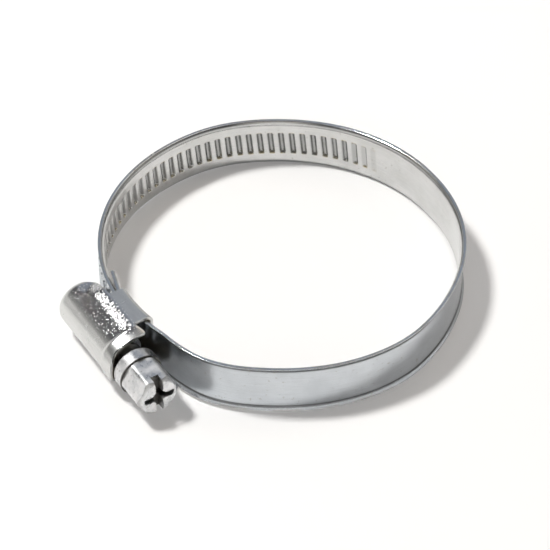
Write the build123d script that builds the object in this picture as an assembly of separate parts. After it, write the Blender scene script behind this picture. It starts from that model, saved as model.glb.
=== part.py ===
from build123d import *
import os
from math import acos, asin, atan2, cos, degrees, hypot, pi, radians, sin, tan

os.makedirs("parts", exist_ok=True)

# Worm-drive hose clamp, nearly fully open.
# The bore axis is Z, the screw lies along X on the -Y side with its head at +X,
# and z = 0 is the middle of the band. Millimetres and degrees.

# ---- driving dimensions: the band -------------------------------------------------
bore_radius = 30.0          # the hose that the open clamp just fits
band_width = 9.8
band_thickness = 0.6
lip_rise = 0.5              # the rolled edges stand this far outwards
lip_width = 0.8             # and take this much of the width at each edge
sprung_gap = 0.8            # straight stretch at the far side of the sprung-open ring
far_arc = 48.0              # angle of true bore radius on each side of that stretch
side_bulge = 1.3            # how far the ring stands off the bore at its two sides
shoulder_bulge = 1.9        # and where the plain band has left the housing
shoulder_angle = -54.0      # where round the ring that shoulder is
shoulder_end = -26.0        # where it has come back to the sides' radius
seat_gap = 0.03             # the saddle to the fixed end that it holds
layer_gap = 0.2             # fixed end of the band to the tail that slides over it

tongue_length = 4.9         # bent end of the fixed layer, behind the housing
tongue_bend = 11.0
tongue_fold = 2.0           # inner radius of that bend
exit_x = 8.6                # x where the plain band leaves the bore's curve
exit_fold = 12.0            # radius of the backward bend there
exit_bend = 7.0

rib_pitch = 2.0             # at the ribs' middle height, which is also the worm's lead
rib_width = 0.85
rib_top_width = 0.45
rib_height = 0.45
rib_length = 4.9
groove_width = 0.75         # the pressed hollow behind each rib
groove_depth = 0.35
rack_reach = 34.4           # how far the ribs run back from the back hinge
rib_lag = 0.07              # the ribs sit back by half of what they gain on the worm's turns
tail_tip_x = 2.0            # where the tail ends inside the open clamp's housing
tail_plain = 2.2            # stretch without ribs at the tail's tip
tail_corner = 2.0

# ---- driving dimensions: the housing -------------------------------------------------
sheet = 0.6                 # the saddle, the side folds and the wings
arch_sheet = 0.95           # the arch over the worm
arch_start = -9.9           # x of the arch's closed end
fold_start = -3.0           # x where the side folds begin
fold_end = 5.4              # and end, towards the screw's head
flare_start = 5.8           # x where the arch begins to open
mouth_x = 8.1               # x of the mouth
mouth_inner = 4.35          # radii of the mouth
mouth_outer = 4.85
edge_gap = 0.1              # band edge to side fold
rib_gap = 0.12              # rib tops to the wings
fold_round = 0.4
crown_round = 1.6           # rounding of the closed end

# ---- driving dimensions: the screw -----------------------------------------------------
worm_radius = 3.4
worm_gap = 0.08             # worm to arch, the running clearance
mesh_gap = 0.1              # worm crest to the band between two ribs
end_gap = 0.1               # screw's end to the closed end of the housing
thread_depth = 0.6
thread_root = 0.85
thread_crest = 0.45
thread_start = -8.45        # x of the first thread's middle, facing the band
thread_turns = 7.2
worm_end = 6.9
core_round = 0.4
neck_radius = 2.6
collar_start = 9.2
collar_radius = 3.95
head_start = 11.8
head_end = 17.7
across_flats = 7.0
head_round = 0.4            # chamfers of the head, at both of its ends
collar_round = 0.3
slot_width = 1.4
slot_depth = 1.6
cross_length = 5.6
cross_width = 1.1
cross_depth = 2.2

# ---- derived sizes ----------------------------------------------------------------------
half_width = band_width / 2
flat_half = half_width - lip_width
saddle_outer = bore_radius + sheet
fixed_radius = saddle_outer + seat_gap
rack_radius = fixed_radius + band_thickness + layer_gap
rack_outer = rack_radius + band_thickness
mesh_radius = rack_outer + rib_height / 2
side_radius = bore_radius + side_bulge
shoulder_radius = bore_radius + shoulder_bulge
rib_spacing = rib_pitch * rack_radius / mesh_radius     # along the band's inner face
passage_radius = rack_outer + rib_height + rib_gap
half_passage = half_width + edge_gap
half_housing = half_passage + sheet
wing_y = -(passage_radius + sheet)
worm_y = -(rack_outer + mesh_gap + worm_radius)
rib_slant = degrees(rib_pitch / (2 * pi * worm_radius))
arch_inner = worm_radius + worm_gap
arch_outer = arch_inner + arch_sheet
worm_core = worm_radius - thread_depth
screw_start = arch_start + arch_sheet + end_gap
walls_start = arch_start + crown_round                  # the arch's straight walls behind the folds
overcut = 1.0                                           # how far a cut runs past the surface it opens
bury = 0.15                                             # how far a rib or thread sinks into its carrier
tail_angle = degrees(asin(tail_tip_x / rack_radius))    # past the middle of the housing


# ---- curves in the XY plane: a run is a list of (length, left turn) ------------------------
def polar(radius, angle):
    return (radius * cos(radians(angle)), radius * sin(radians(angle)))


def ahead(point, heading, length, turn):
    """Where a piece of run that starts here ends, and its heading there."""
    half = radians(turn) / 2
    chord = length * sin(half) / half if abs(half) > 1e-9 else length
    direction = radians(heading + turn / 2)
    end = (point[0] + chord * cos(direction), point[1] + chord * sin(direction))
    return end, heading + turn


def along(point, heading, run, distance):
    """The point and heading at this distance along a run."""
    for length, turn in run:
        part = min(distance, length)
        point, heading = ahead(point, heading, part, turn * part / length)
        distance -= part
        if distance <= 0:
            break
    return point, heading


def run_length(run):
    return sum(length for length, turn in run)


def circle_arc(radius, turn):
    return (radius * radians(turn), turn)


def two_arcs(start, heading, end, end_heading):
    """Two tangent arcs of equal turn that join two points with these headings."""
    turn = (end_heading - heading) / 2
    (ax, ay), middle = ahead((0, 0), heading, 1.0, turn)
    (bx, by), _ = ahead((0, 0), middle, 1.0, turn)
    dx, dy = end[0] - start[0], end[1] - start[1]
    cross = ax * by - bx * ay
    return [((dx * by - bx * dy) / cross, turn), ((ax * dy - dx * ay) / cross, turn)]


# ---- the band's section and its ribs ----------------------------------------------------------
def band_section():
    """Flat with both edges rolled outwards. x is outwards and y is along the bore axis."""
    rise, t = lip_rise, band_thickness
    return make_face(Polyline(
        (0, -flat_half), (0, flat_half), (rise, half_width), (rise + t, half_width),
        (t, flat_half), (t, -flat_half), (rise + t, -half_width), (rise, -half_width),
        close=True,
    ))


def cross_plane(point, heading):
    """A plane across the band: x outwards from the ring, y up the bore axis."""
    outwards = Vector(sin(radians(heading)), -cos(radians(heading)), 0)
    return Plane(origin=(*point, 0), x_dir=outwards, z_dir=outwards.cross(Vector(0, 0, 1)))


def strip(point, heading, run):
    """The band laid along a run of its inner face."""
    pieces = []
    for length, turn in run:
        plane = cross_plane(point, heading)
        face = plane * band_section()
        if abs(turn) < 1e-9:
            forwards = (cos(radians(heading)), sin(radians(heading)), 0)
            pieces.append(extrude(face, amount=length, dir=forwards))
        else:
            centre = Vector(*point, 0) - plane.x_dir * (length / radians(turn))
            pieces.append(revolve(face, Axis(centre, (0, 0, 1)), revolution_arc=turn))
        point, heading = ahead(point, heading, length, turn)
    return pieces[0] + pieces[1:]


def slanted_bar(point, heading, outline, length):
    """A bar across the band, leaning with the thread: outline is in (outwards, forwards)."""
    right = Vector(sin(radians(heading)), -cos(radians(heading)), 0)
    forwards = Vector(cos(radians(heading)), sin(radians(heading)), 0)
    lean = tan(radians(rib_slant))
    base = Vector(*point, 0) - (forwards * lean + Vector(0, 0, 1)) * (length / 2)
    corners = [base + right * u + forwards * v for u, v in outline]
    face = make_face(Polyline(*corners, close=True))
    direction = forwards * lean + Vector(0, 0, 1)
    return extrude(face, amount=length * direction.length, dir=direction.normalized())


def rib(point, heading):
    base, top = band_thickness, band_thickness + rib_height
    outline = [
        (base - bury, -rib_width / 2), (base, -rib_width / 2), (top, -rib_top_width / 2),
        (top, rib_top_width / 2), (base, rib_width / 2), (base - bury, rib_width / 2),
    ]
    return slanted_bar(point, heading, outline, rib_length)


def groove(point, heading):
    outline = [
        (-bury, -groove_width / 2), (0, -groove_width / 2), (groove_depth, -groove_width / 4),
        (groove_depth, groove_width / 4), (0, groove_width / 2), (-bury, groove_width / 2),
    ]
    return slanted_bar(point, heading, outline, rib_length - rib_height)


def press_ribs(solid, point, heading, run, distances):
    places = [along(point, heading, run, distance) for distance in distances]
    solid = solid + [rib(*place) for place in places]
    return solid - [groove(*place) for place in places]


# ---- the ring's runs ---------------------------------------------------------------------------
front_hinge = (side_radius, 0)
back_hinge = (-side_radius, 0)

# fixed end: tongue, saddle, then the plain band up to the front hinge
saddle_from = degrees(asin(fold_start / fixed_radius))
saddle_to = degrees(asin(exit_x / fixed_radius))
tongue_root, back_heading = ahead(
    polar(fixed_radius, saddle_from - 90), saddle_from + 180,
    tongue_fold * radians(tongue_bend), -tongue_bend,
)
tongue_tip, _ = ahead(tongue_root, back_heading, tongue_length, 0)
fixed_heading = back_heading - 180
fixed_run = [
    (tongue_length, 0),
    (tongue_fold * radians(tongue_bend), tongue_bend),
    circle_arc(fixed_radius, saddle_to - saddle_from),
    (exit_fold * radians(exit_bend), -exit_bend),
]
leave_point, leave_heading = along(tongue_tip, fixed_heading, fixed_run, run_length(fixed_run))
shoulder = polar(shoulder_radius, shoulder_angle)
shoulder_out = polar(side_radius, shoulder_end)
fixed_run += two_arcs(leave_point, leave_heading, shoulder, shoulder_angle + 90)
fixed_run += two_arcs(shoulder, shoulder_angle + 90, shoulder_out, shoulder_end + 90)
fixed_run += two_arcs(shoulder_out, shoulder_end + 90, front_hinge, 90)

# back: front hinge, round the far side, to the back hinge
near_x, near_y = polar(bore_radius, 90 - far_arc)
far_start = (near_x + sprung_gap / 2, near_y)
far_end = (-far_start[0], far_start[1])
back_run = two_arcs(front_hinge, 90, far_start, 180 - far_arc)
back_run += [circle_arc(bore_radius, far_arc), (sprung_gap, 0), circle_arc(bore_radius, far_arc)]
back_run += two_arcs(far_end, 180 + far_arc, back_hinge, 270)

# threaded end: back hinge to the tail's tip, on a circle about the bore axis near the worm
rack_from = 225.0
threaded_run = two_arcs(back_hinge, 270, polar(rack_radius, rack_from), rack_from + 90)
threaded_run += [circle_arc(rack_radius, 270 + tail_angle - rack_from)]

# ribs stand midway between two turns of the worm, set back by half of what they gain on it
back_length = run_length(back_run)
tail_length = run_length(threaded_run)
gap_x = thread_start + rib_pitch / 2 - rib_lag
gap_distance = tail_length - rack_radius * (radians(tail_angle) - asin(gap_x / mesh_radius))
ribs_ahead = int((tail_length - tail_plain - gap_distance) // rib_spacing)
last_rib = back_length + gap_distance + ribs_ahead * rib_spacing
rack_begin = back_length - rack_reach
rib_count = int((last_rib - rack_begin) // rib_spacing) + 1
ribs = [last_rib - k * rib_spacing for k in range(rib_count)]
back_ribs = [d for d in ribs if d < back_length]
threaded_ribs = [d - back_length for d in ribs if d > back_length]


def tail_corners(point, heading):
    """Prisms that cut the tail's two corners off."""
    right = Vector(sin(radians(heading)), -cos(radians(heading)), 0)
    forwards = Vector(cos(radians(heading)), sin(radians(heading)), 0)
    start = Vector(*point, 0) - right * band_thickness
    cutters = []
    for side in (-1, 1):
        corners = [
            start + forwards * v + Vector(0, 0, side * (half_width + w))
            for v, w in ((-tail_corner, 1), (-tail_corner, 0), (0, -tail_corner), (1, -tail_corner),
                         (1, 1))
        ]
        face = make_face(Polyline(*corners, close=True))
        cutters.append(extrude(face, amount=4 * band_thickness, dir=right))
    return cutters


def make_threaded_end():
    solid = strip(back_hinge, 270, threaded_run)
    solid = press_ribs(solid, back_hinge, 270, threaded_run, threaded_ribs)
    return solid - tail_corners(*along(back_hinge, 270, threaded_run, tail_length))


# ---- the housing: one pressed shell round the saddle, the folds, the wings and the arch ---------
def worm_plane(x):
    """A plane across the worm: x faces the band, y is up, and the normal is the screw's axis."""
    return Plane(origin=(x, worm_y, 0), x_dir=(0, 1, 0), z_dir=(1, 0, 0))


def turned(*profile):
    """A solid of revolution about the worm's axis, from (x, radius) pairs."""
    points = [(x, worm_y - radius, 0) for x, radius in profile]
    return revolve(make_face(Polyline(*points, close=True)), Axis((0, worm_y, 0), (1, 0, 0)))


def block(x0, x1, y0, y1, half_height):
    centre = ((x0 + x1) / 2, (y0 + y1) / 2, 0)
    return Pos(*centre) * Box(x1 - x0, y1 - y0, 2 * half_height)


def ring(inner, outer, half_height):
    return Cylinder(outer, 2 * half_height) - Cylinder(inner, 2 * half_height)


def u_section(radius, lip_depth, half_opening):
    """A circle round the worm, joined by tangents to a wide opening on the band's side."""
    reach = hypot(lip_depth, half_opening)
    lean = degrees(atan2(half_opening, lip_depth)) + degrees(acos(radius / reach))
    tangent = polar(radius, lean)
    corners = [
        tangent, (lip_depth, half_opening), (lip_depth, -half_opening), (tangent[0], -tangent[1]),
    ]
    return Circle(radius) + make_face(Polyline(*corners, close=True))


def make_housing():
    fold_length = fold_end - fold_start
    wing_depth = wing_y - worm_y
    outside = u_section(arch_outer, wing_depth, half_housing)
    outside = fillet(outside.vertices().sort_by(Axis.X)[-2:], fold_round)
    depth = overcut - bore_radius - wing_y + fold_round
    outside += Pos(wing_depth - fold_round + depth / 2, 0) * Rectangle(depth, 2 * half_housing)
    inside = u_section(arch_inner, wing_depth, half_passage)
    inside += Pos(wing_depth + overcut, 0) * Rectangle(2 * overcut, 2 * half_passage)
    folds = worm_plane(fold_start) * extrude(outside, amount=fold_length)
    fold_room = worm_plane(fold_start) * extrude(inside, amount=fold_length)

    arch = turned(
        (arch_start, 0), (arch_start, arch_outer), (flare_start, arch_outer),
        (mouth_x, mouth_outer), (mouth_x, 0),
    )
    crown = arch.edges().filter_by(GeomType.CIRCLE).sort_by(Axis.X)[0]
    arch = fillet(crown, crown_round)
    arch += block(walls_start, fold_start, worm_y, wing_y, arch_outer)
    arch -= block(arch_start - overcut, fold_start, wing_y, 0, half_housing)
    arch -= block(fold_end, mouth_x + overcut, wing_y, 0, half_housing)
    mouth_past = mouth_inner + overcut * (mouth_inner - arch_inner) / (mouth_x - flare_start)
    worm_room = turned(
        (arch_start + arch_sheet, 0), (arch_start + arch_sheet, arch_inner),
        (flare_start, arch_inner), (mouth_x + overcut, mouth_past), (mouth_x + overcut, 0),
    )
    worm_room += block(walls_start, fold_start, worm_y, 0, arch_inner)
    passage = ring(saddle_outer, passage_radius, half_passage)
    shell = folds + arch - fold_room - worm_room - passage
    return shell - Cylinder(bore_radius, 2 * band_width)


# ---- the screw: worm, neck, collar and hexagon head with a slot and a cross -----------------------
def make_thread():
    path = Helix(pitch=rib_pitch, height=thread_turns * rib_pitch, radius=worm_core)
    start = Plane(origin=path @ 0, x_dir=(1, 0, 0), z_dir=path % 0)
    section = make_face(Polyline(
        (-bury, -thread_root / 2), (0, -thread_root / 2), (thread_depth, -thread_crest / 2),
        (thread_depth, thread_crest / 2), (0, thread_root / 2), (-bury, thread_root / 2),
        close=True,
    ))
    return worm_plane(thread_start) * sweep(start * section, path=path, is_frenet=True)


def make_screw():
    body = turned(
        (screw_start, 0), (screw_start, worm_core - core_round), (screw_start + core_round, worm_core),
        (worm_end, worm_core), (worm_end, neck_radius), (collar_start, neck_radius),
        (collar_start, collar_radius - collar_round), (collar_start + collar_round, collar_radius),
        (head_start, collar_radius), (head_start, 0),
    )
    corner = across_flats / 2 / cos(radians(30))
    head = worm_plane(head_start) * extrude(RegularPolygon(corner, 6), amount=head_end - head_start)
    head &= turned(
        (head_start, 0), (head_start, corner - head_round), (head_start + head_round, corner),
        (head_end - 2 * head_round, corner), (head_end, across_flats / 2 - head_round),
        (head_end, 0),
    )
    face = worm_plane(head_end)
    slot = Box(slot_width, 2 * across_flats, 2 * slot_depth)
    cross = Box(cross_length, cross_width, 2 * cross_depth)
    return body + head + make_thread() - face * slot - face * cross


# ---- every node, one file each -------------------------------------------------------------------
nodes = {
    "band_fixed_end": strip(tongue_tip, fixed_heading, fixed_run),
    "band_back": press_ribs(strip(front_hinge, 90, back_run), front_hinge, 90, back_run, back_ribs),
    "band_threaded_end": make_threaded_end(),
    "screw_housing": make_housing(),
    "worm_screw": make_screw(),
}
for name, solid in nodes.items():
    solid.label = name
    export_step(solid, f"parts/{name}.step")
    print(name, round(solid.volume, 2), solid.is_valid, len(solid.solids()))
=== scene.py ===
import math
import random

import bmesh
import bpy
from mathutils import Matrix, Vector


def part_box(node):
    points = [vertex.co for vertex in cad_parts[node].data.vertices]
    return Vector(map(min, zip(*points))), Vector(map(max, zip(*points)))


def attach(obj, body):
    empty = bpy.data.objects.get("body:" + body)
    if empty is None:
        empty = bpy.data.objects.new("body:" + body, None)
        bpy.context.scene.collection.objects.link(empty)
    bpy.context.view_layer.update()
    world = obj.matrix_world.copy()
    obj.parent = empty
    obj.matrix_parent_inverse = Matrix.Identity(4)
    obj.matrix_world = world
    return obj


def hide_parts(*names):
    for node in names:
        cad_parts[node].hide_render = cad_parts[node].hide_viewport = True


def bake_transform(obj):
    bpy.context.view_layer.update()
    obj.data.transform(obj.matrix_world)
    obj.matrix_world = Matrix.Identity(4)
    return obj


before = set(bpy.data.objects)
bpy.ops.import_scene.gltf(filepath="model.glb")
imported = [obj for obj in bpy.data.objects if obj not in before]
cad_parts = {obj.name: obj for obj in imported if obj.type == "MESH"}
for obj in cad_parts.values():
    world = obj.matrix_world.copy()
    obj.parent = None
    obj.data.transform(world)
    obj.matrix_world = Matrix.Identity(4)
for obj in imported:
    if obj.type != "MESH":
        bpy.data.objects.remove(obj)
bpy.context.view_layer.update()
scene = bpy.context.scene
scene.view_settings.view_transform = "Standard"


# ---- the camera ------------------------------------------------------------------------
# A long lens looks down on the clamp from the screw's head and the plain side of the band,
# almost half a metre away, so that near and far parts of the ring look nearly equal in scale.
def add_object(name, data):
    """A new object with this mesh, lamp or camera."""
    made = bpy.data.objects.new(name, data)
    scene.collection.objects.link(made)
    return made


camera_data = bpy.data.cameras.new("camera")
camera_data.lens = 176.7
camera_data.sensor_width = 36.0
camera_data.clip_start = 0.01
camera_data.clip_end = 20.0
camera = add_object("camera", camera_data)
camera.location = (0.290956, -0.181868, 0.321256)
looking = Vector((0.00105, -0.00280, -0.00202)) - camera.location
camera.rotation_euler = looking.to_track_quat("-Z", "Y").to_euler()
scene.camera = camera


# ---- the floor and the studio light ----------------------------------------------------
# The clamp lies on a white table: the housing's fold and the far edge of the band touch it,
# so the table leans a little under the bore's axis.
fold_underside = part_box("screw_housing")[0][2]
band_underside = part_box("band_back")[0][2]
fold_rests_at, band_rests_at = -0.0315, 0.0305          # how far along Y each of them touches
table_lean = (band_underside - fold_underside) / (band_rests_at - fold_rests_at)
table_reach = 1.6
table_corners = [(x * table_reach, y * table_reach) for x, y in ((-1, -1), (1, -1), (1, 1), (-1, 1))]
table_mesh = bpy.data.meshes.new("table")
table_mesh.from_pydata(
    [(x, y, fold_underside + (y - fold_rests_at) * table_lean) for x, y in table_corners],
    [], [(0, 1, 2, 3)],
)
table = add_object("table", table_mesh)


def node(tree, kind, **settings):
    """A new node with these settings."""
    made = tree.nodes.new(kind)
    for name, value in settings.items():
        setattr(made, name, value)
    return made


def join(tree, *pairs):
    """Links each output to the input beside it."""
    for source, target in pairs:
        tree.links.new(source, target)


# white paint that also glows a little to the camera and in mirrors, not as light on the clamp
table_paint = bpy.data.materials.new("white table")
table_paint.use_nodes = True
tree = table_paint.node_tree
tree.nodes.clear()
paint = node(tree, "ShaderNodeBsdfDiffuse")
paint.inputs["Color"].default_value = (0.90, 0.892, 0.885, 1)
glow = node(tree, "ShaderNodeEmission")
glow.inputs["Color"].default_value = (1, 1, 1, 1)
rays = node(tree, "ShaderNodeLightPath")
seen = node(tree, "ShaderNodeMath", operation="MAXIMUM")
seen_through = node(tree, "ShaderNodeMath", operation="MAXIMUM")
lift = node(tree, "ShaderNodeMath", operation="MULTIPLY")
lift.inputs[1].default_value = 0.07
both = node(tree, "ShaderNodeAddShader")
surface = node(tree, "ShaderNodeOutputMaterial")
join(
    tree,
    (rays.outputs["Is Camera Ray"], seen.inputs[0]),
    (rays.outputs["Is Glossy Ray"], seen.inputs[1]),
    (seen.outputs[0], seen_through.inputs[0]),
    (rays.outputs["Is Transmission Ray"], seen_through.inputs[1]),
    (seen_through.outputs[0], lift.inputs[0]),
    (lift.outputs[0], glow.inputs["Strength"]),
    (paint.outputs[0], both.inputs[0]),
    (glow.outputs[0], both.inputs[1]),
    (both.outputs[0], surface.inputs["Surface"]),
)
table_mesh.materials.append(table_paint)

# the room: a grey floor, bright low walls, a dark ceiling and one bluish window high at the back
world = bpy.data.worlds.new("studio")
scene.world = world
world.use_nodes = True
tree = world.node_tree
direction = node(tree, "ShaderNodeTexCoord").outputs["Generated"]
height = node(tree, "ShaderNodeSeparateXYZ")
walls = node(tree, "ShaderNodeValToRGB")
walls.color_ramp.interpolation = "EASE"
walls.color_ramp.elements[0].color = (0.45, 0.45, 0.45, 1)
walls.color_ramp.elements[1].color = (0.14, 0.14, 0.15, 1)
for place, level in ((0.1, 0.7), (0.3, 0.85), (0.46, 0.2), (0.56, 0.12)):
    walls.color_ramp.elements.new(place).color = (level, level * 0.985, level * 0.96, 1)
facing = node(tree, "ShaderNodeVectorMath", operation="DOT_PRODUCT")
facing.inputs[1].default_value = (-0.617, 0.381, 0.688)
window = node(tree, "ShaderNodeMapRange", interpolation_type="SMOOTHSTEP")
window.inputs["From Min"].default_value = 0.90
window.inputs["From Max"].default_value = 0.97
daylight = node(tree, "ShaderNodeMix", data_type="RGBA", blend_type="ADD")
daylight.inputs[7].default_value = (0.23, 0.26, 0.31, 1)
join(
    tree,
    (direction, height.inputs[0]), (height.outputs["Z"], walls.inputs["Fac"]),
    (direction, facing.inputs[0]), (facing.outputs["Value"], window.inputs["Value"]),
    (window.outputs[0], daylight.inputs[0]), (walls.outputs[0], daylight.inputs[6]),
    (daylight.outputs[2], tree.nodes["Background"].inputs["Color"]),
)


def softbox(name, place, width, height, watts, colour):
    """A rectangular lamp that faces the clamp."""
    light = bpy.data.lights.new(name, "AREA")
    light.shape = "RECTANGLE"
    light.size, light.size_y = width, height
    light.energy = watts
    light.color = colour
    lamp = add_object(name, light)
    lamp.location = place
    lamp.rotation_euler = (-Vector(place)).to_track_quat("-Z", "Y").to_euler()


softbox("main softbox", (-0.306, -0.321, 0.896), 0.15, 0.15, 7.8, (1.0, 0.995, 0.98))
softbox("overhead softbox", (-0.1, 0.6, 1.0), 0.8, 0.8, 2.1, (1.0, 0.90, 0.79))
softbox("fill softbox", (0.72, -0.44, 0.56), 0.5, 0.3, 0.8, (1.0, 0.98, 0.95))


# ---- the band --------------------------------------------------------------------------
# One strip of zinc-plated spring steel with both edges rolled outwards. Its fixed
# end is held in the housing's saddle with a short tongue left behind it; the other end is
# pressed with slanted ribs for the worm, and slides through the housing over the fixed end.
mm = 0.001
bore_radius = 30.0
band_thickness, half_width = 0.6, 4.9
lip_rise, lip_width = 0.5, 0.95
housing_sheet, seat_gap, layer_gap = 0.6, 0.03, 0.2
side_bulge = 1.3                            # how far the ring stands off the bore at its two sides
shoulder_bulge, shoulder_angle, shoulder_end = 1.9, -54, -26
far_arc, sprung_gap = 48, 0.8               # the far side: two arcs of bore radius, straight between
tongue_length, tongue_bend, tongue_fold = 4.9, 11, 2.0
fold_start, exit_x, exit_fold, exit_bend = -3.0, 8.6, 12, 7
rack_from, tail_tip_x, tail_corner = 225, 2.0, 2.0
rib_pitch, rib_height, rib_count = 2.0, 0.45, 43
first_rib_in = 61.626                       # from the front hinge to the first rib's middle
worm_radius = 3.4
fixed_radius = bore_radius + housing_sheet + seat_gap
rack_radius = fixed_radius + band_thickness + layer_gap
mesh_radius = rack_radius + band_thickness + rib_height / 2
side_radius = bore_radius + side_bulge
shoulder_radius = bore_radius + shoulder_bulge
rib_spacing = rib_pitch * rack_radius / mesh_radius     # along the band's inner face
rib_lean = rib_pitch / (2 * math.pi * worm_radius)      # the worm's lead over its girth


def polar(radius, angle):
    """The point at this radius and angle, in degrees."""
    return (radius * math.cos(math.radians(angle)), radius * math.sin(math.radians(angle)))


def ahead(point, heading, length, turn):
    """Where a piece of the band that starts here ends, and its heading there."""
    half = math.radians(turn) / 2
    chord = length * math.sin(half) / half if abs(half) > 1e-9 else length
    direction = math.radians(heading + turn / 2)
    end = (point[0] + chord * math.cos(direction), point[1] + chord * math.sin(direction))
    return end, heading + turn


def two_arcs(start, heading, end, end_heading):
    """Two tangent arcs of equal turn that join two points with these headings."""
    turn = (end_heading - heading) / 2
    (ax, ay), middle = ahead((0, 0), heading, 1.0, turn)
    (bx, by), _ = ahead((0, 0), middle, 1.0, turn)
    dx, dy = end[0] - start[0], end[1] - start[1]
    cross = ax * by - bx * ay
    return [((dx * by - bx * dy) / cross, turn), ((ax * dy - dx * ay) / cross, turn)]


def arc(radius, turn):
    """A piece of band, (length, left turn), bent to this radius."""
    return (radius * math.radians(abs(turn)), turn)


def walk(point, heading, pieces):
    """The starts of these pieces of band, one after another, and where the last one ends."""
    starts = []
    for length, turn in pieces:
        starts.append((point, heading, length, turn))
        point, heading = ahead(point, heading, length, turn)
    return starts, point, heading


def run_on(pieces, point, heading, stops):
    """Adds the arcs that carry the band through these stops, each a point and the heading there."""
    for stop, stop_heading in stops:
        more, point, heading = walk(point, heading, two_arcs(point, heading, stop, stop_heading))
        pieces += more
    return point, heading


def length_of(pieces):
    """The length of these pieces together, along the band's inner face."""
    return sum(piece[2] for piece in pieces)


# from the tongue's tip over the saddle to the front hinge
saddle_from = math.degrees(math.asin(fold_start / fixed_radius))
saddle_to = math.degrees(math.asin(exit_x / fixed_radius))
tongue_root, backwards = ahead(
    polar(fixed_radius, saddle_from - 90), saddle_from + 180, *arc(tongue_fold, -tongue_bend))
tongue_tip, _ = ahead(tongue_root, backwards, tongue_length, 0)
band_pieces, point, heading = walk(tongue_tip, backwards - 180, [
    (tongue_length, 0), arc(tongue_fold, tongue_bend), arc(fixed_radius, saddle_to - saddle_from),
    arc(exit_fold, -exit_bend)])
point, heading = run_on(band_pieces, point, heading, [
    (polar(shoulder_radius, shoulder_angle), shoulder_angle + 90),
    (polar(side_radius, shoulder_end), shoulder_end + 90), ((side_radius, 0), 90)])
front_hinge_at = length_of(band_pieces)

# round the far side to the back hinge
far_x, far_y = polar(bore_radius, 90 - far_arc)
point, heading = run_on(band_pieces, point, heading, [((far_x + sprung_gap / 2, far_y), 180 - far_arc)])
far_side, point, heading = walk(
    point, heading, [arc(bore_radius, far_arc), (sprung_gap, 0), arc(bore_radius, far_arc)])
band_pieces += far_side
point, heading = run_on(band_pieces, point, heading, [((-side_radius, 0), 270)])

# and on a circle past the worm to the tail's tip
tail_angle = math.degrees(math.asin(tail_tip_x / rack_radius))
point, heading = run_on(band_pieces, point, heading, [(polar(rack_radius, rack_from), rack_from + 90)])
band_pieces += walk(point, heading, [arc(rack_radius, 270 + tail_angle - rack_from)])[0]
band_length = length_of(band_pieces)

first_rib_at = front_hinge_at + first_rib_in


def band_frame(distance):
    """The point of the band's inner face at this distance from the tongue's tip, and the way out."""
    for point, heading, length, turn in band_pieces:
        if distance <= length + 1e-9:
            break
        distance -= length
    (x, y), heading = ahead(point, heading, distance, turn * distance / length)
    return x, y, math.sin(math.radians(heading)), -math.cos(math.radians(heading))


def ease(value):
    """A smooth step from 0 to 1."""
    value = min(max(value, 0.0), 1.0)
    return value * value * (3 - 2 * value)


def press(offset, flat, edge):
    """A pressed shape's height, from 1 over its flat part to 0 at its edge."""
    return ease((edge - abs(offset)) / (edge - flat))


# how far across the band each row of the section stands, how far out, and on which face
face_rows = [0, 0.7, 1.4, 1.85, 2.0, 2.09, 2.17, 2.25, 2.33, 2.41, 2.5, 2.62, 3.0, 3.5, 3.8,
             3.9, 4.0, 4.1, 4.2, 4.3, 4.4, 4.5, 4.6, 4.7, 4.77]
inner_rows = [-z for z in face_rows[:0:-1]] + face_rows
edge_rows = [(4.83, 0.02), (4.88, 0.07), (half_width, 0.15), (half_width, 0.3), (half_width, 0.45),
             (4.88, 0.53), (4.83, 0.58)]
section_rows = [(z, 0.0, "in") for z in inner_rows]
section_rows += [(z, depth, "edge") for z, depth in edge_rows]
section_rows += [(z, band_thickness, "out") for z in reversed(inner_rows)]
section_rows += [(-z, depth, "edge") for z, depth in reversed(edge_rows)]
rib_margin = 0.97                           # about halfway from a rib's middle to the next one's
rib_steps = [-rib_margin, -0.8, -0.68, -0.6, -0.52, -0.44, -0.36, -0.28, -0.2, -0.1, 0,
             0.1, 0.2, 0.28, 0.36, 0.44, 0.52, 0.6, 0.68, 0.8]
plain_step, plain_margin, tail_steps = 0.42, 1.2, 18


def band_columns(start, end):
    """Distances along the band, close together across each rib."""
    plain_to = first_rib_at - plain_margin
    plain_steps = int(plain_to / plain_step)
    columns = [plain_to * k / plain_steps for k in range(plain_steps)]
    for k in range(rib_count):
        columns += [first_rib_at + k * rib_spacing + step for step in rib_steps]
    tail_from = first_rib_at + (rib_count - 1) * rib_spacing + rib_margin
    columns += [tail_from + (band_length - tail_from) * k / tail_steps for k in range(tail_steps + 1)]
    return [d for d in columns if start - 1e-6 <= d <= end + 1e-6]


first_ribs = (0.22, 0.5, 0.8)               # the first three are less deep than the rest
hollow_depth, lean_from, lean_over = 0.5, 3.0, 1.5


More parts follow.
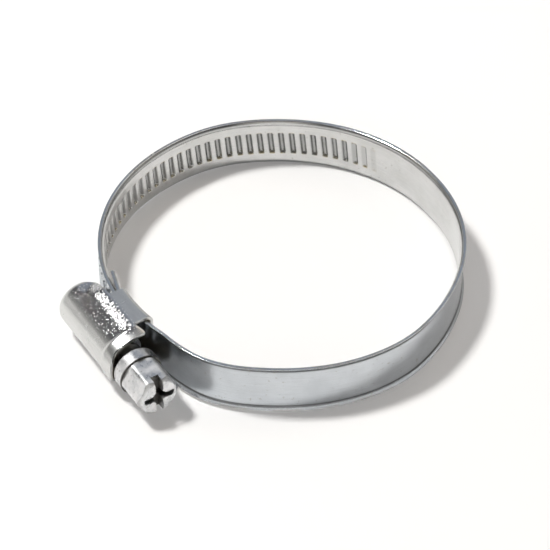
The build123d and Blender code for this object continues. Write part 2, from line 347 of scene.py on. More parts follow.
def band_point(distance, z, depth, side):
    """A point of the band's skin, with its lip, its rib or groove, and the tail's round corners."""
    ribbed = ease((distance - first_rib_at + lean_from) / lean_over)
    to_tip = band_length - distance
    narrow = 1.0
    if to_tip < tail_corner:
        corner = math.sqrt(max(tail_corner ** 2 - (tail_corner - to_tip) ** 2, 0.0))
        narrow = (half_width - tail_corner + corner) / half_width
        ribbed *= ease(to_tip / tail_corner)
    nearest = round((distance - first_rib_at) / rib_spacing)
    along = distance - first_rib_at - nearest * rib_spacing
    out = depth + lip_rise * max((abs(z) - half_width + lip_width) / lip_width, 0.0) ** 1.5
    if 0 <= nearest < rib_count and side != "edge":
        strength = first_ribs[nearest] if nearest < len(first_ribs) else 1.0
        if side == "in":
            out += strength * hollow_depth * press(along, 0.1, 0.66) * press(z, 2.0, 2.41)
        else:
            out += strength * rib_height * press(along, 0.2, 0.44) * press(z, 2.15, 2.5)
    x, y, ox, oy = band_frame(min(max(distance + z * rib_lean * ribbed, 0.0), band_length))
    return Vector(((x + ox * out) * mm, (y + oy * out) * mm, z * narrow * mm))


def face_outwards(mesh):
    """Turns all the faces of a closed mesh outwards."""
    work = bmesh.new()
    work.from_mesh(mesh)
    bmesh.ops.recalc_face_normals(work, faces=work.faces)
    work.to_mesh(mesh)
    work.free()


def band_marks(columns):
    """What the metal's nodes read at each point: rim, inside, painted shade in the creases and in the
    hollows, and the hollows' ends.
    """
    marks = {"rim": [], "inside": [], "crease_shade": [], "hollow": [], "hollow_end": []}
    for distance in columns:
        nearest = min(max(round((distance - first_rib_at) / rib_spacing), 0), rib_count - 1)
        along = distance - first_rib_at - nearest * rib_spacing
        # painted shade in the ribs' grooves on the inner face, off their middle towards one wall and
        # fainter in the first ribs
        hollow_shading = min(0.25 + 0.25 * nearest, 1.0) * press(along - 0.04, 0.36, 0.7)
        ends = press(along, 0.3, 0.6)
        for z, _, side in section_rows:
            inside = side == "in"
            # painted shade along the creases beside the lips, and darker towards the inner face's lower
            # edge
            beside_lip = max(0.8 * press(abs(z) - 4.66, 0.04, 0.2), 0.5 * press(z + 4.5, 0.25, 0.6))
            under_lip = press(abs(z) - 4.1, 0.12, 0.36)
            marks["rim"].append(1.0 if side == "edge" else ease((abs(z) - 4.45) / 0.3))
            marks["inside"].append(1.0 if inside else 0.0)
            marks["crease_shade"].append({"out": under_lip, "edge": 0.0, "in": beside_lip}[side])
            marks["hollow"].append(hollow_shading * press(z, 2.2, 2.5) if inside else 0.0)
            marks["hollow_end"].append(ends * press(abs(z) - 2.3, 0.06, 0.3) if inside else 0.0)
    return marks


def keep_marks(mesh, marks, domain="POINT"):
    """Stores these numbers in the mesh, one for each of its points or corners."""
    for mark, values in marks.items():
        mesh.attributes.new(mark, "FLOAT", domain).data.foreach_set("value", values)


def ring_faces(first, count, rings):
    """Faces between rings of this many points, and the two that close their ends."""
    last = first + (rings - 1) * count
    faces = [tuple(range(first + count - 1, first - 1, -1)), tuple(range(last, last + count))]
    for ring in range(first, last, count):
        for k in range(count):
            a, b = ring + k, ring + (k + 1) % count
            faces.append((a, b, b + count, a + count))
    return faces


def make_band(name, start, end):
    """A closed length of band; its UV map is distance along and height across, in metres."""
    columns = band_columns(start, end)
    rows = len(section_rows)
    points = [band_point(d, z, depth, side) for d in columns for z, depth, side in section_rows]
    mesh = bpy.data.meshes.new(name)
    mesh.from_pydata(points, [], ring_faces(0, rows, len(columns)))
    strip_map = mesh.uv_layers.new(name="strip")
    for polygon in mesh.polygons:
        for loop_index, vertex in zip(polygon.loop_indices, polygon.vertices):
            column, row = divmod(vertex, rows)
            strip_map.data[loop_index].uv = (columns[column] * mm, section_rows[row][0] * mm)
    keep_marks(mesh, band_marks(columns))
    face_outwards(mesh)
    for polygon in mesh.polygons:
        polygon.use_smooth = len(polygon.vertices) == 4
        if not polygon.use_smooth:
            for loop_index in polygon.loop_indices:
                mesh.edges[mesh.loops[loop_index].edge_index].use_edge_sharp = True
    return add_object(name, mesh)


def new_group(name, numbers, outputs):
    """An empty node group with Place, a vector, and these numbers going in, and these coming out."""
    group = bpy.data.node_groups.new(name, "ShaderNodeTree")
    group.interface.new_socket("Place", in_out="INPUT", socket_type="NodeSocketVector")
    for socket, value in numbers.items():
        made = group.interface.new_socket(socket, in_out="INPUT", socket_type="NodeSocketFloat")
        made.default_value = value
    for socket in outputs:
        group.interface.new_socket(socket, in_out="OUTPUT", socket_type="NodeSocketFloat")
    return group, group.nodes.new("NodeGroupInput"), group.nodes.new("NodeGroupOutput")


# rolling grain: fine streaks along the first axis of Place
grain, given, result = new_group("rolling grain", {"Fineness": 4000.0, "Stretch": 0.05}, ["Streaks"])
squeeze = node(grain, "ShaderNodeVectorMath", operation="MULTIPLY")
axes = node(grain, "ShaderNodeCombineXYZ")
axes.inputs[1].default_value = axes.inputs[2].default_value = 1.0
streaks = node(grain, "ShaderNodeTexNoise")
streaks.inputs["Detail"].default_value = 4.0
streaks.inputs["Roughness"].default_value = 0.65
join(
    grain,
    (given.outputs["Stretch"], axes.inputs[0]), (given.outputs["Place"], squeeze.inputs[0]),
    (axes.outputs[0], squeeze.inputs[1]), (squeeze.outputs[0], streaks.inputs["Vector"]),
    (given.outputs["Fineness"], streaks.inputs["Scale"]),
    (streaks.outputs["Fac"], result.inputs["Streaks"]),
)

# plating mottle: soft cloudy patches with small dark specks
mottle, given, result = new_group(
    "plating mottle", {"Patch size": 250.0, "Speck size": 2200.0, "Speck amount": 0.3},
    ["Clouds", "Specks"])
clouds = node(mottle, "ShaderNodeTexNoise")
clouds.inputs["Detail"].default_value = 5.0
clouds.inputs["Roughness"].default_value = 0.6
specks = node(mottle, "ShaderNodeTexNoise")
specks.inputs["Detail"].default_value = 3.0
threshold = node(mottle, "ShaderNodeMath", operation="SUBTRACT")
threshold.inputs[0].default_value = 0.82
low = node(mottle, "ShaderNodeMath", operation="MULTIPLY")
low.inputs[1].default_value = 0.3
cut = node(mottle, "ShaderNodeMapRange", interpolation_type="SMOOTHSTEP")
end = node(mottle, "ShaderNodeMath", operation="ADD")
end.inputs[1].default_value = 0.06
join(
    mottle,
    (given.outputs["Place"], clouds.inputs["Vector"]),
    (given.outputs["Patch size"], clouds.inputs["Scale"]),
    (given.outputs["Place"], specks.inputs["Vector"]),
    (given.outputs["Speck size"], specks.inputs["Scale"]),
    (given.outputs["Speck amount"], low.inputs[0]), (low.outputs[0], threshold.inputs[1]),
    (specks.outputs["Fac"], cut.inputs["Value"]), (threshold.outputs[0], cut.inputs["From Min"]),
    (threshold.outputs[0], end.inputs[0]), (end.outputs[0], cut.inputs["From Max"]),
    (clouds.outputs["Fac"], result.inputs["Clouds"]), (cut.outputs[0], result.inputs["Specks"]),
)

# fine scratches: thin wandering lines where a stretched noise crosses its middle
scratches, given, result = new_group("fine scratches", {"Spacing": 300.0, "Width": 0.008}, ["Lines"])
wander = node(scratches, "ShaderNodeTexNoise")
wander.inputs["Detail"].default_value = 1.5
centre = node(scratches, "ShaderNodeMath", operation="SUBTRACT")
centre.inputs[1].default_value = 0.5
size = node(scratches, "ShaderNodeMath", operation="ABSOLUTE")
line = node(scratches, "ShaderNodeMapRange", interpolation_type="SMOOTHSTEP")
line.inputs["From Min"].default_value = 0.0
line.inputs["To Min"].default_value = 1.0
line.inputs["To Max"].default_value = 0.0
breaks = node(scratches, "ShaderNodeTexNoise")
breaks.inputs["Detail"].default_value = 2.0
broken = node(scratches, "ShaderNodeMapRange", interpolation_type="SMOOTHSTEP")
broken.inputs["From Min"].default_value = 0.5
broken.inputs["From Max"].default_value = 0.62
kept = node(scratches, "ShaderNodeMath", operation="MULTIPLY")
join(
    scratches,
    (given.outputs["Place"], wander.inputs["Vector"]),
    (given.outputs["Spacing"], wander.inputs["Scale"]),
    (given.outputs["Place"], breaks.inputs["Vector"]),
    (given.outputs["Spacing"], breaks.inputs["Scale"]),
    (wander.outputs["Fac"], centre.inputs[0]), (centre.outputs[0], size.inputs[0]),
    (size.outputs[0], line.inputs["Value"]), (given.outputs["Width"], line.inputs["From Max"]),
    (breaks.outputs["Fac"], broken.inputs["Value"]), (line.outputs[0], kept.inputs[0]),
    (broken.outputs[0], kept.inputs[1]), (kept.outputs[0], result.inputs["Lines"]),
)


class Finish:
    """A metal's node tree, with short ways to place and join its nodes."""

    def __init__(self, name):
        self.material = bpy.data.materials.new(name)
        self.material.use_nodes = True
        self.tree = self.material.node_tree
        self.shader = self.tree.nodes["Principled BSDF"]
        self.shader.inputs["Metallic"].default_value = 1.0
        self.spot = node(self.tree, "ShaderNodeTexCoord").outputs["Object"]

    def put(self, value, socket):
        """Joins a node's output to a socket, or sets the socket to a number or colour."""
        if isinstance(value, bpy.types.NodeSocket):
            self.tree.links.new(value, socket)
        elif isinstance(value, tuple):
            socket.default_value = (*value, 1)
        else:
            socket.default_value = value

    def set_shader(self, socket, value):
        self.put(value, self.shader.inputs[socket])

    def fill(self, made, values):
        for name, value in values.items():
            self.put(value, made.inputs[name.replace("_", " ")])

    def place(self, group, **values):
        """Uses one of the groups above, with these values at its sockets."""
        made = node(self.tree, "ShaderNodeGroup", node_tree=group)
        self.fill(made, values)
        return made

    def ramp(self, source, low, high, to_low=0.0, to_high=1.0):
        """A smooth step from to_low to to_high as the source goes from low to high."""
        made = node(self.tree, "ShaderNodeMapRange", interpolation_type="SMOOTHSTEP")
        self.fill(made, {"Value": source, "From Min": low, "From Max": high,
                         "To Min": to_low, "To Max": to_high})
        return made.outputs[0]

    def mix(self, amount, colour_a, colour_b):
        """From the first colour to the second as the amount goes from 0 to 1."""
        made = node(self.tree, "ShaderNodeMix", data_type="RGBA")
        self.put(amount, made.inputs[0])
        self.put(colour_a, made.inputs[6])
        self.put(colour_b, made.inputs[7])
        return made.outputs[2]

    def calc(self, operation, a, b=0.0):
        made = node(self.tree, "ShaderNodeMath", operation=operation)
        self.put(a, made.inputs[0])
        self.put(b, made.inputs[1])
        return made.outputs[0]

    def attribute(self, name):
        return node(self.tree, "ShaderNodeAttribute", attribute_name=name).outputs["Fac"]

    def bumps(self, *layers):
        """Bump nodes in a row: (height, distance in metres, strength)."""
        last = None
        for height, distance, strength in layers:
            made = node(self.tree, "ShaderNodeBump")
            self.fill(made, {"Height": height, "Distance": distance, "Strength": strength})
            if last:
                self.put(last, made.inputs["Normal"])
            last = made.outputs[0]
        self.set_shader("Normal", last)


# zinc plate on rolled strip: satin, with streaks along its length, clouds, specks and stained lips
strip = Finish("zinc strip")
along_strip = node(strip.tree, "ShaderNodeUVMap", uv_map="strip").outputs[0]
rolled = strip.place(grain, Place=along_strip, Fineness=5200.0, Stretch=0.03)
clouded = strip.place(mottle, Place=strip.spot, Patch_size=210.0, Speck_size=1500.0, Speck_amount=0.55)
cloud, specks = clouded.outputs["Clouds"], clouded.outputs["Specks"]
scored = strip.place(scratches, Place=along_strip, Spacing=420.0, Width=0.007)
cloud_amount = strip.ramp(cloud, 0.3, 0.7)
clean = strip.mix(cloud_amount, (0.53, 0.56, 0.59), (0.62, 0.65, 0.68))
inner = strip.mix(cloud_amount, (0.60, 0.60, 0.585), (0.70, 0.70, 0.69))
faced = strip.mix(strip.attribute("inside"), clean, inner)
# painted shade: the grooves on the inner face darkened
shaded_face = strip.mix(strip.calc("MULTIPLY", strip.attribute("hollow"), 0.8), faced, (0.26, 0.26, 0.255))
# a yellowish tint in cloudy patches at the grooves' ends
end_tint = strip.ramp(cloud, 0.4, 0.6, 0.15, 0.8)
shaded_face = strip.mix(
    strip.calc("MULTIPLY", strip.attribute("hollow_end"), end_tint), shaded_face, (0.50, 0.42, 0.24))
# painted shade along the creases beside the lips
shaded_face = strip.mix(strip.calc("MULTIPLY", strip.attribute("crease_shade"), 0.93), shaded_face, (0.05, 0.05, 0.05))
streak_amount = strip.ramp(rolled.outputs["Streaks"], 0.35, 0.7, 0.0, 0.35)
streaked = strip.mix(streak_amount, shaded_face, (0.44, 0.46, 0.48))
speck_amount = strip.calc("MULTIPLY", specks, 0.45)
specked = strip.mix(speck_amount, streaked, (0.28, 0.26, 0.21))
stain = strip.ramp(cloud, 0.42, 0.62, 0.0, 0.5)
worn_lip = strip.calc("MULTIPLY", strip.attribute("rim"), stain)
strip.set_shader("Base Color", strip.mix(worn_lip, specked, (0.36, 0.34, 0.31)))
rough = strip.calc("ADD", strip.ramp(cloud, 0.3, 0.7, 0.13, 0.24),
                   strip.calc("MULTIPLY", scored.outputs["Lines"], 0.12))
rough = strip.calc("ADD", rough, strip.calc("MULTIPLY", rolled.outputs["Streaks"], 0.06))
strip.set_shader("Roughness", rough)
strip.bumps((rolled.outputs["Streaks"], 0.00001, 0.4), (scored.outputs["Lines"], 0.00001, 0.5),
            (cloud, 0.00008, 0.35))

ribs_on_back = 9
seam_at = first_rib_at + ribs_on_back * rib_spacing - rib_margin
plain_band = make_band("plain_band", 0.0, seam_at)
ribbed_band = make_band("ribbed_band", seam_at, band_length)
for piece in (plain_band, ribbed_band):
    piece.data.materials.append(strip.material)
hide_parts("band_fixed_end", "band_back")
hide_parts("band_threaded_end", "band_back")
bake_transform(plain_band)
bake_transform(ribbed_band)


# ---- the housing -----------------------------------------------------------------------
# One pressed sheet: a saddle under the band, folds round both of the band's edges, wings that
# lean in over it, and a barrel round the worm, drawn closed behind and flared at its mouth.
thread_clearance = 0.1
worm_y = -(rack_radius + band_thickness + thread_clearance + worm_radius)
wing_foot = 33.2                            # from the bore's axis to where the wings leave the folds
wing_reach = -wing_foot - worm_y            # worm's axis to the wings' foot, towards the band
wing_from, wing_over, wing_lift = -8.4, 4.4, 0.8
fold_end, fold_corner_at, fold_corner, fold_side = 5.4, 31.15, 1.15, 5.6
barrel_radius, room_radius = 4.43, 3.48
barrel_start, crown_round, crown_sheet = -9.9, 1.6, 0.95
taper_start, mouth_x, mouth_room = 6.2, 8.1, 3.78
swell, swell_over, mouth_thinning, foot_closing = 0.25, 0.8, 0.34, 0.3
arch_points, wing_points, tip_points = 30, 14, 9
wing_grows_over, wing_bow, wing_pull = 2.8, 5, 14       # the last two in degrees


def taper_at(x):
    """From 0 where the mouth starts to 1 at its edge."""
    return max(x - taper_start, 0.0) / (mouth_x - taper_start)


def opened_at(x):
    """How far the wings have opened from the barrel to the folds: 0 behind, 1 over the saddle."""
    return ease((x - wing_from) / wing_over)


def barrel_stations():
    """(x and radius and half-width at the foot, outside and inside) from the closed end to the mouth."""
    stations = []
    inner_round = crown_round - crown_sheet
    for part in (0.02, 0.25, 0.5, 0.75, 0.92):
        outer, inner = part * (barrel_radius - crown_round), part * (room_radius - inner_round)
        stations.append((barrel_start, outer, outer, barrel_start + crown_sheet, inner, inner))
    for step in range(11):
        angle = math.radians(90 - 9 * step)
        x = barrel_start + crown_round * (1 - math.sin(angle))
        outer = barrel_radius - crown_round * (1 - math.cos(angle))
        x_inner = barrel_start + crown_sheet + inner_round * (1 - math.sin(angle))
        inner = room_radius - inner_round * (1 - math.cos(angle))
        stations.append((x, outer, outer, x_inner, inner, inner))
    places = [-8.0, -7.6, -7.1, -6.6, -6.1, -5.6, -5.1, -4.6, -4.1, -3.6, -3.2, fold_start]
    places += [fold_start + (fold_end - fold_start) * k / 22 for k in range(1, 22)] + [fold_end]
    places += [5.6, 5.8, 6.0, 6.2, 6.4, 6.6, 6.8, 7.0, 7.2, 7.4, 7.6, 7.75, 7.9, 8.0, 8.06, mouth_x]
    for x in places:
        taper = taper_at(x)
        inner = room_radius + (mouth_room - room_radius) * taper
        outer = barrel_radius + swell * ease((x - fold_end) / swell_over) - mouth_thinning * taper
        foot = outer + (fold_side - outer) * opened_at(x)
        foot_inner = inner + (fold_side - housing_sheet - inner) * opened_at(x)
        if x > fold_end:
            close = foot_closing * taper
            foot += (math.sqrt(outer ** 2 - wing_reach ** 2) - foot) * close
            foot_inner += (math.sqrt(inner ** 2 - wing_reach ** 2) - foot_inner) * close
        stations.append((x, outer, foot, x, inner, foot_inner))
    return stations


def curve(start, pull_start, end, pull_end, t):
    """A point of the smooth curve between two points with these pulls at its ends."""
    return tuple(
        (2 * t ** 3 - 3 * t ** 2 + 1) * start[i] + (t ** 3 - 2 * t ** 2 + t) * pull_start[i]
        + (3 * t ** 2 - 2 * t ** 3) * end[i] + (t ** 3 - t ** 2) * pull_end[i] for i in (0, 1))


def barrel_profile(x, radius, foot):
    """Half of the U round the worm, from the wing's foot to the crown: (towards the band, up)."""
    wing = (wing_reach * ease((x - barrel_start) / wing_grows_over)
            + wing_lift * ease((x - fold_end) / (mouth_x - fold_end)))
    if radius < 1.0:
        rows = [(wing * (1 - k / (tip_points - 1)), foot) for k in range(tip_points)]
        left = arch_points - tip_points
        return rows + [polar(radius, 90 + 90 * k / left) for k in range(1, left + 1)]
    reach = math.hypot(wing, foot)
    touch = math.degrees(math.atan2(foot, wing)) + math.degrees(math.acos(min(radius / reach, 1.0)))
    bow = opened_at(x) * (1 - foot_closing * taper_at(x))
    first = touch + wing_bow * bow
    start, end = (wing, foot), polar(radius, first)
    span = math.dist(start, end)
    pull_start, pull_end = polar(span, touch + 90 - wing_pull * bow), polar(span, first + 90)
    rows = [curve(start, pull_start, end, pull_end, k / wing_points) for k in range(wing_points)]
    left = arch_points - wing_points - 1
    return rows + [polar(radius, first + (180 - first) * k / left) for k in range(left + 1)]


def fold_profile(x, saddle, corner, side):
    """Half of the saddle and the fold round the band's edge: (y, z), from the middle outwards."""
    corner_z = side - corner
    rows = [(saddle, corner_z * k / 6) for k in range(6)]
    rows += [(fold_corner_at - corner * math.cos(math.radians(angle)),
              corner_z + corner * math.sin(math.radians(angle))) for angle in range(0, 91, 10)]
    rows += [(fold_corner_at + (wing_foot - fold_corner_at) * k / 4, side) for k in range(1, 4)]
    placed = []
    for radius, z in rows:
        straight = ease((radius - fold_corner_at) / (wing_foot - fold_corner_at))
        y = -math.sqrt(radius ** 2 - x ** 2)
        placed.append((y + (-radius - y) * straight, z))
    return placed


mouth_reach, mouth_setback, mouth_flare, flare_from = 1.0, 0.3, 0.06, 6.0
mouth_crown_from, mouth_crown_over = 125, 45            # degrees round from the band


def mouth_shape(x, across, z):
    """How far the mouth reaches over the collar, and how much wider it is, at its crown."""
    round_from_band = math.degrees(math.atan2(abs(z), across))
    crown = ease((round_from_band - mouth_crown_from) / mouth_crown_over)
    forward = max((x - fold_end) / (mouth_x - fold_end), 0.0)
    further = forward * ((mouth_reach + mouth_setback) * crown - mouth_setback)
    flare = mouth_flare * max((x - flare_from) / (mouth_x - flare_from), 0.0) ** 2
    return further, 1 + crown * flare


skin_sizes = (                              # outside and inside: saddle, corner and side of a fold
    (bore_radius, fold_corner, fold_side),
    (bore_radius + housing_sheet, fold_corner - housing_sheet, fold_side - housing_sheet),
)
polish_from, polish_to = -9.6, 7.2


def make_housing():
    """Two skins over one grid of stations and rows, closed along every edge of the sheet."""
    stations = barrel_stations()
    skins = [[], []]
    for station in stations:
        for skin, (place, size, wide), fold in zip(skins, (station[:3], station[3:]), skin_sizes):
            inside_fold = min(max(place, fold_start), fold_end)
            half = [(place, y, z) for y, z in fold_profile(inside_fold, *fold)]
            for across, z in barrel_profile(station[0], size, wide):
                further, wider = mouth_shape(place, across, z)
                half.append((place + further, worm_y + across * wider, z * wider))
            skin.append(half + [(px, py, -pz) for px, py, pz in half[-2:0:-1]])
    rows = len(skins[0][0])
    folds = len(fold_profile(0, *skin_sizes[0]))
    points = [point for skin in skins for station in skin for point in station]
    inner_from = len(stations) * rows

    def exists(i, j):
        """Whether there is sheet here: the saddle and the folds are shorter than the barrel."""
        if not 0 <= i < len(stations) - 1:
            return False
        beside_band = min(j % rows, rows - 1 - j % rows) < folds
        held = fold_start - 1e-6 <= stations[i][0] and stations[i + 1][0] <= fold_end + 1e-6
        return held or not beside_band

    faces = []
    for i in range(len(stations) - 1):
        for j in range(rows):
            if not exists(i, j):
                continue
            a, b = i * rows + j, i * rows + (j + 1) % rows
            corners = (a, b, b + rows, a + rows)
            faces.append(corners)
            faces.append(tuple(inner_from + c for c in reversed(corners)))
            for near, pair in (((i, j - 1), (a, a + rows)), ((i, j + 1), (b + rows, b)),
                               ((i - 1, j), (b, a)), ((i + 1, j), (a + rows, b + rows))):
                if not exists(*near) and not (i == 0 and near == (i - 1, j)):
                    faces.append((pair[1], pair[0], inner_from + pair[0], inner_from + pair[1]))
    used = sorted({c for face in faces for c in face})
    index = {old: new for new, old in enumerate(used)}
    mesh = bpy.data.meshes.new("housing_shell")
    mesh.from_pydata([[c * mm for c in points[old]] for old in used], [],
                     [tuple(index[c] for c in face) for face in faces])
    marks = {"inner_skin_shade": [], "polished": [], "glint": []}
    for old in used:
        x, y, z = points[old]
        across = y - worm_y
        marks["inner_skin_shade"].append(1.0 if old >= inner_from else 0.0)
        marks["polished"].append(
            press(across, 1.7, 2.6) * ease((x - polish_from) / 1.5) * ease((polish_to - x) / 1.0))
        # the glint mark sets a painted highlight stripe along the wing near its foot
        marks["glint"].append(press(across - 1.0, 0.4, 1.15) * press(x - 0.4, 4.0, 6.0))
    keep_marks(mesh, marks)
    work = bmesh.new()
    work.from_mesh(mesh)
    bmesh.ops.remove_doubles(work, verts=work.verts, dist=0.00003)
    bmesh.ops.holes_fill(work, edges=[e for e in work.edges if e.is_boundary], sides=0)
    bmesh.ops.recalc_face_normals(work, faces=work.faces)
    work.to_mesh(mesh)
    work.free()
    return mesh


def soften_edges(piece, name, angle, width):
    """Rounds the edges that are sharper than this angle, and shades the piece smooth."""
    rounding = piece.modifiers.new(name, "BEVEL")
    rounding.limit_method = "ANGLE"
    rounding.angle_limit = math.radians(angle)
    rounding.width = width * mm
    rounding.segments = 3
    for polygon in piece.data.polygons:
        polygon.use_smooth = True


housing = add_object("housing_shell", make_housing())
soften_edges(housing, "rounded sheet edge", 50, 0.14)

# the same plate on pressed sheet: satin folds, bright scuffs on the barrel crowded into a painted
# highlight stripe along the wing, long scratches
pressing = Finish("zinc pressing")
rolled = pressing.place(grain, Place=pressing.spot, Fineness=1100.0, Stretch=0.12)
clouded = pressing.place(
    mottle, Place=pressing.spot, Patch_size=1100.0, Speck_size=2400.0, Speck_amount=0.4)
cloud, specks = clouded.outputs["Clouds"], clouded.outputs["Specks"]
scored = pressing.place(scratches, Place=pressing.spot, Spacing=230.0, Width=0.012)
scuffs = pressing.place(scratches, Place=pressing.spot, Spacing=1900.0, Width=0.06)
dents = pressing.place(
    mottle, Place=pressing.spot, Patch_size=3000.0, Speck_size=5200.0, Speck_amount=0.6)
barrel_side = pressing.attribute("polished")
polished = pressing.calc(
    "MULTIPLY", barrel_side, pressing.ramp(cloud, 0.40, 0.44, 0.25, 1.0))
glint = pressing.calc("MULTIPLY", pressing.attribute("glint"), 0.15)
# bright scuffs on the barrel's side, crowded thick into the painted highlight stripe that the glint mark
# sets
rubbed_and_glint = pressing.calc("MULTIPLY", barrel_side, pressing.ramp(
    pressing.calc("ADD", dents.outputs["Clouds"], glint), 0.60, 0.68))
inner_skin_shade = pressing.ramp(pressing.attribute("inner_skin_shade"), 0.75, 1.0)
streak_amount = pressing.ramp(rolled.outputs["Streaks"], 0.3, 0.7)
satin = pressing.mix(streak_amount, (0.60, 0.605, 0.595), (0.68, 0.685, 0.675))
faced = pressing.mix(polished, satin, (0.54, 0.545, 0.565))
speck_amount = pressing.calc("MULTIPLY", specks, 0.5)
specked = pressing.mix(speck_amount, faced, (0.24, 0.23, 0.21))
scuffed = pressing.calc(
    "MULTIPLY", scuffs.outputs["Lines"], pressing.calc("MULTIPLY", barrel_side, 0.8))
wear_and_glint = pressing.calc("MAXIMUM", pressing.calc("MULTIPLY", scored.outputs["Lines"], 0.8), scuffed)
wear_and_glint = pressing.calc("MAXIMUM", wear_and_glint, rubbed_and_glint)
bared_and_glint = pressing.mix(wear_and_glint, specked, (0.92, 0.92, 0.91))
# painted shade: the inner skin is a darker brown, for the shade inside the barrel and its mouth
pressing.set_shader("Base Color", pressing.mix(inner_skin_shade, bared_and_glint, (0.42, 0.37, 0.29)))
rough = pressing.mix(polished, (0.27, 0.27, 0.27), (0.12, 0.12, 0.12))
rough = pressing.calc("ADD", rough, pressing.calc("MULTIPLY", wear_and_glint, 0.3))
rough = pressing.calc("ADD", rough, pressing.calc("MULTIPLY", inner_skin_shade, 0.3))
pressing.set_shader("Roughness", rough)
pressing.bumps((cloud, 0.00002, 0.4), (scored.outputs["Lines"], 0.00001, 0.6),
               (rubbed_and_glint, 0.00002, 0.8),
               (pressing.calc("MULTIPLY", scuffs.outputs["Lines"], polished), 0.00002, 0.7))
housing.data.materials.append(pressing.material)
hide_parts("screw_housing")
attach(housing, "housing")


# ---- the worm and its collar -----------------------------------------------------------
# One steel screw, rolled and zinc-plated: its worm turns inside the barrel, and a plain neck
# joins it to a round collar that stops against the mouth.
worm_start, thread_start, thread_end, worm_end = -8.85, -8.45, 6.2, 6.9
worm_core, thread_depth, core_taper = 2.8, 0.6, 0.4
collar_start, collar_end, head_start, head_end = 9.2, 11.7, 11.8, 17.7
collar_radius, neck_radius, collar_round = 3.95, 2.6, 0.35
worm_sides, worm_step, worm_steps = 72, 0.1, 158
neck_shade_at, head_shade_from = 7.8, 11.45


def screw_profile(x):
    """The screw's plain radius along its axis."""
    if x <= worm_end:
        return worm_core - core_taper * (1 - ease((x - worm_start) / 0.5))
    if x <= collar_start:
        return neck_radius + (worm_core - neck_radius) * (1 - ease((x - worm_end) / 0.3))
    rounded = min((x - collar_start) / collar_round, 1.0)
    return collar_radius - collar_round * (1 - math.sqrt(1 - (1 - rounded) ** 2))


def turn_surface(name, stations, sides, radius_at):
    """A closed surface about the worm's axis from the radius at each x and angle."""
    points = []
    for x in stations:
        for k in range(sides):
            angle = 2 * math.pi * k / sides
            radius = radius_at(x, angle)
            across, up = radius * math.cos(angle), radius * math.sin(angle)
            points.append((x * mm, (worm_y + across) * mm, up * mm))
    mesh = bpy.data.meshes.new(name)
    mesh.from_pydata(points, [], ring_faces(0, sides, len(stations)))
    for polygon in mesh.polygons:
        polygon.use_smooth = len(polygon.vertices) == 4
    return add_object(name, mesh)


def threaded_radius(x, angle):
    turns = (x - thread_start) / rib_pitch - angle / (2 * math.pi)
    off_thread = (turns - round(turns)) * rib_pitch
    thread = thread_depth * press(off_thread, 0.23, 0.43)
    thread *= ease((x - thread_start + 0.2) / 0.6) * ease((thread_end - x) / 0.6)
    return screw_profile(x) + thread


stations = [worm_start + worm_step * k for k in range(worm_steps)]
stations += [7.0, 7.1, 7.2, 8.0, 9.0, collar_start + 0.001]
stations += [collar_start + collar_round * share for share in (0.03, 0.1, 0.2, 0.35, 0.55, 0.8, 1.0)]
stations += [9.9, 10.6, 11.3, head_shade_from, 11.52, 11.6, 11.66, collar_end]
worm = turn_surface("worm_and_collar", stations, worm_sides, threaded_radius)
# painted shade on the neck inside the mouth and on the collar under the hexagon's root
worm_shade = []
for x in stations:
    painted_shade = max(0.8 * press(x - neck_shade_at, 1.1, 1.5), ease((x - head_shade_from) / 0.2))
    worm_shade += [painted_shade] * worm_sides
keep_marks(worm.data, {"painted_shade": worm_shade})


# ---- the screw's head ------------------------------------------------------------------
# A 7 mm hexagon forged on the collar, its corners turned off at both ends. A slot is sawn right
# across its face, and a cross is punched over the slot, with the punch's cone at the middle.
across_flats, hexagon_round = 7.0, 1.0
hexagon_corner = across_flats / 2 / math.cos(math.radians(30))
slot_half, slot_depth, cut_past = 0.70, 1.6, 5
cross_half, cross_reach, cross_depth = 0.58, 2.8, 2.2
arm_tip, arm_from = 0.4, 2.4                # the cross's half width at its ends, and where that starts
punch_reach, punch_depth, punch_slope = 1.25, 1.9, 0.22
turned_from, turned_margin, turned_slope = 0.8, 0.02, 1.08
sunk, root_turned = 0.15, 0.45              # the head's root in the collar, and what is turned off there


def prism(name, outline, x0, x1):
    """A closed prism along the screw's axis from an outline in (towards the bore, up)."""
    count = len(outline)
    points = [(x * mm, (worm_y + across) * mm, up * mm) for x in (x0, x1) for across, up in outline]
    mesh = bpy.data.meshes.new(name)
    mesh.from_pydata(points, [], ring_faces(0, count, 2))
    return add_object(name, mesh)


def carve(piece, tool, operation):
    """Cuts or trims a piece with a tool, which is then thrown away."""
    modifier = piece.modifiers.new("carve", "BOOLEAN")
    modifier.operation = operation
    modifier.solver = "EXACT"
    modifier.object = tool
    bpy.context.view_layer.update()
    shape = bpy.data.meshes.new_from_object(piece.evaluated_get(bpy.context.evaluated_depsgraph_get()))
    piece.modifiers.clear()
    piece.data = shape
    bpy.data.objects.remove(tool)


def turned_radius(x, angle):
    """The turned ends: a short cone at the root and a steeper one at the face."""
    if x < head_start + root_turned:
        return hexagon_corner + turned_margin - 0.5 * (head_start + root_turned - x) / 0.6
    return hexagon_corner + turned_margin - max(x - head_end + turned_from, 0.0) * turned_slope


def punch_radius(x, angle):
    return punch_reach - punch_slope * (head_end - x)


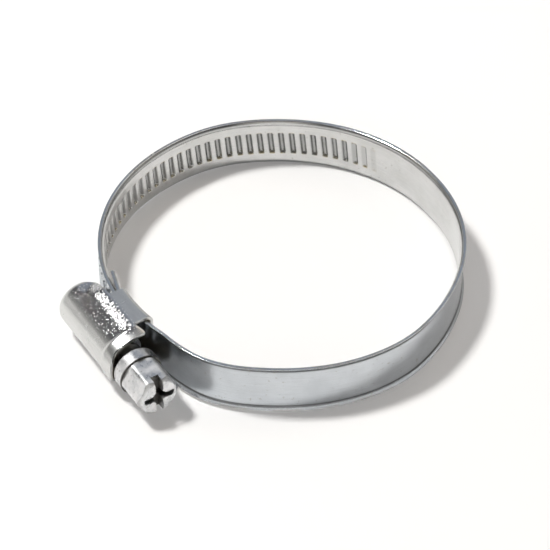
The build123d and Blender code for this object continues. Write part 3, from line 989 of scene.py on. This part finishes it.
hexagon = []
for k in range(6):
    middle = polar(hexagon_corner - hexagon_round / math.cos(math.radians(30)), 60 * k)
    for turn in (-30, -18, -6, 6, 18, 30):
        round_corner = polar(hexagon_round, 60 * k + turn)
        hexagon.append((middle[0] + round_corner[0], middle[1] + round_corner[1]))
head = prism("screw_head", hexagon, head_start - sunk, head_end)
turned_ends = turn_surface(
    "turned_ends", [head_start - sunk - 0.01, head_start + root_turned, head_end - turned_from,
                    head_end - 0.35, head_end + 0.01], 96, turned_radius)
carve(head, turned_ends, "INTERSECT")
slot_outline = [(slot_half * a, cut_past * b) for a, b in ((1, -1), (1, 1), (-1, 1), (-1, -1))]
carve(head, prism("slot_cutter", slot_outline, head_end - slot_depth, head_end + 1), "DIFFERENCE")
cross_outline = [
    (cross_reach, -arm_tip), (cross_reach, arm_tip), (arm_from, cross_half), (-arm_from, cross_half),
    (-cross_reach, arm_tip), (-cross_reach, -arm_tip), (-arm_from, -cross_half), (arm_from, -cross_half),
]
carve(head, prism("cross_cutter", cross_outline, head_end - cross_depth, head_end + 1), "DIFFERENCE")
punch = turn_surface("punch", [head_end - punch_depth, head_end + 0.3], 32, punch_radius)
carve(head, punch, "DIFFERENCE")


def in_a_cut(point):
    """Whether this point of the head lies within the slot, the cross or the punch's cone."""
    across, up = point.y - worm_y, point.z
    return (abs(across) < slot_half + 0.01 or math.hypot(across, up) < punch_reach + 0.01
            or (abs(up) < cross_half + 0.01 and abs(across) < cross_reach + 0.02))


# painted shade in the slot, the cross and the punch's cone, and a darker ring on the face's chamfer
head_shade = []
for polygon in head.data.polygons:
    corners = [head.data.vertices[vertex].co / mm for vertex in polygon.vertices]
    inside_cut = all(in_a_cut(corner) for corner in corners) and abs(polygon.normal.x) < 0.5
    floor_of_cut = polygon.center.x / mm < head_end - 1.0 and polygon.normal.x > 0.9
    turned_end = 0.3 < polygon.normal.x < 0.95
    for corner in corners:
        if inside_cut or floor_of_cut:
            head_shade.append(ease((head_end - corner.x - 0.05) / 0.5))
        else:
            head_shade.append(0.45 * ease((head_end - corner.x) / 0.35) if turned_end else 0.0)
keep_marks(head.data, {"painted_shade": head_shade}, "CORNER")
soften_edges(head, "worn edges", 18, 0.1)
even = head.modifiers.new("flat faces", "WEIGHTED_NORMAL")
even.keep_sharp = True

# the saw and the punch have thrown up ragged burrs along the edges of their cuts
burr_step, burr_foot, burr_root = 0.09, 0.2, 0.12
slot_burr, cross_burr = (True, 1.1, 2.95, 0.30), (False, 1.2, 2.6, 0.20)    # from, to and how tall
chance = random.Random(5)
burr_points, burr_faces = [], []
for side in (-1, 1):
    for way in (-1, 1):
        for beside_slot, begin, finish, tallest in (slot_burr, cross_burr):
            steps = round((finish - begin) / burr_step)
            burr_from = len(burr_points)
            for k in range(steps + 1):
                reach = way * (begin + (finish - begin) * k / steps)
                swell_here = math.sin(math.pi * (k + 0.5) / (steps + 1)) ** 0.5
                height = tallest * chance.uniform(0.2, 1.0) * swell_here
                lean = chance.uniform(-0.02, 0.05)
                for beside, rise in ((0.0, -burr_root), (-lean, height), (burr_foot, -0.02)):
                    if beside_slot:
                        across, up = side * (slot_half + beside), reach
                    else:
                        across, up = reach, side * (cross_half + beside)
                    burr_points.append(((head_end + rise) * mm, (worm_y + across) * mm, up * mm))
            burr_faces += ring_faces(burr_from, 3, steps + 1)
burr_mesh = bpy.data.meshes.new("slot_burrs")
burr_mesh.from_pydata(burr_points, [], burr_faces)
face_outwards(burr_mesh)
burrs = add_object("slot_burrs", burr_mesh)

# the same plate on the screw: brighter, cloudy, and darkened with painted shade in the cuts, on the neck
# and at the collar
plated = Finish("zinc screw")
clouded = plated.place(mottle, Place=plated.spot, Patch_size=520.0, Speck_size=2600.0, Speck_amount=0.6)
cloud, specks = clouded.outputs["Clouds"], clouded.outputs["Specks"]
scored = plated.place(scratches, Place=plated.spot, Spacing=600.0, Width=0.012)
cloud_amount = plated.ramp(cloud, 0.35, 0.65)
faced = plated.mix(cloud_amount, (0.60, 0.61, 0.62), (0.82, 0.82, 0.825))
speck_amount = plated.calc("MULTIPLY", specks, 0.6)
specked = plated.mix(speck_amount, faced, (0.25, 0.24, 0.22))
shade_amount = plated.calc("MULTIPLY", plated.attribute("painted_shade"), 0.93)
plated.set_shader("Base Color", plated.mix(shade_amount, specked, (0.072, 0.068, 0.060)))
plated.set_shader("Roughness", plated.ramp(cloud, 0.35, 0.65, 0.26, 0.44))
plated.bumps((cloud, 0.00005, 0.5), (scored.outputs["Lines"], 0.00002, 0.6))
for piece in (worm, head, burrs):
    piece.data.materials.clear()
    piece.data.materials.append(plated.material)
    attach(piece, "screw")
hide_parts("worm_screw")
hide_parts("worm_screw")
